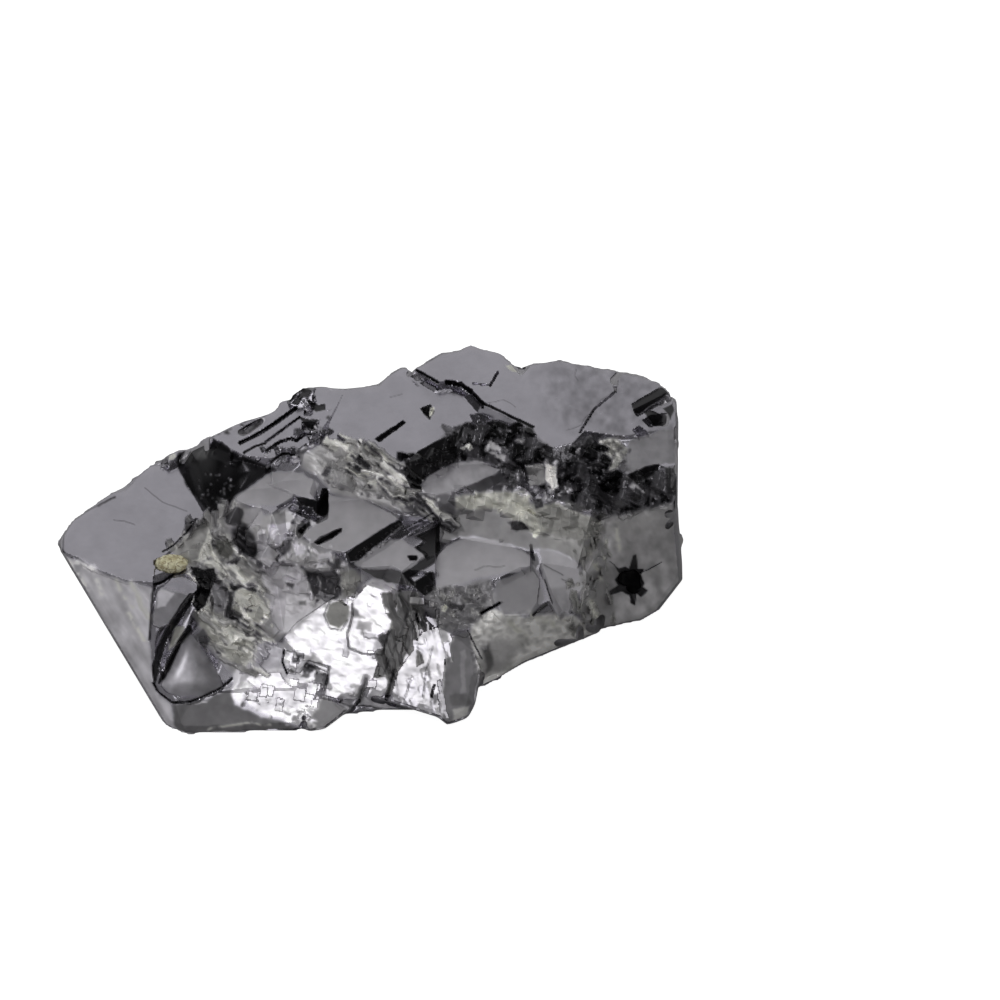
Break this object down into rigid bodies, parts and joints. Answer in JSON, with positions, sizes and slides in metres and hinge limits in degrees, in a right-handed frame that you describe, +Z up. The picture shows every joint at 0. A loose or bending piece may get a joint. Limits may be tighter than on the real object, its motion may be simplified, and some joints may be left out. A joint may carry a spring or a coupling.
{
  "type": "galena crystal",
  "caption": "Tabular galena crystal mass with level terraces, broken cubic steps, a cleaved front and a small yellow grain.",
  "frame": {"origin": "middle of the bounding box at its base, on the table", "axes": "+X along the longest side, towards the high right end; +Y towards the broken back; +Z up, and the cleaved front looks towards -Y"},
  "size_m": [0.0632, 0.0413, 0.0206],
  "materials": {
    "galena": "satin",
    "yellow_mineral": "matte"
  },
  "bodies": {
    "root": {"galena_crystal": "galena", "yellow_grain": "yellow_mineral"}
  },
  "joints": []
}
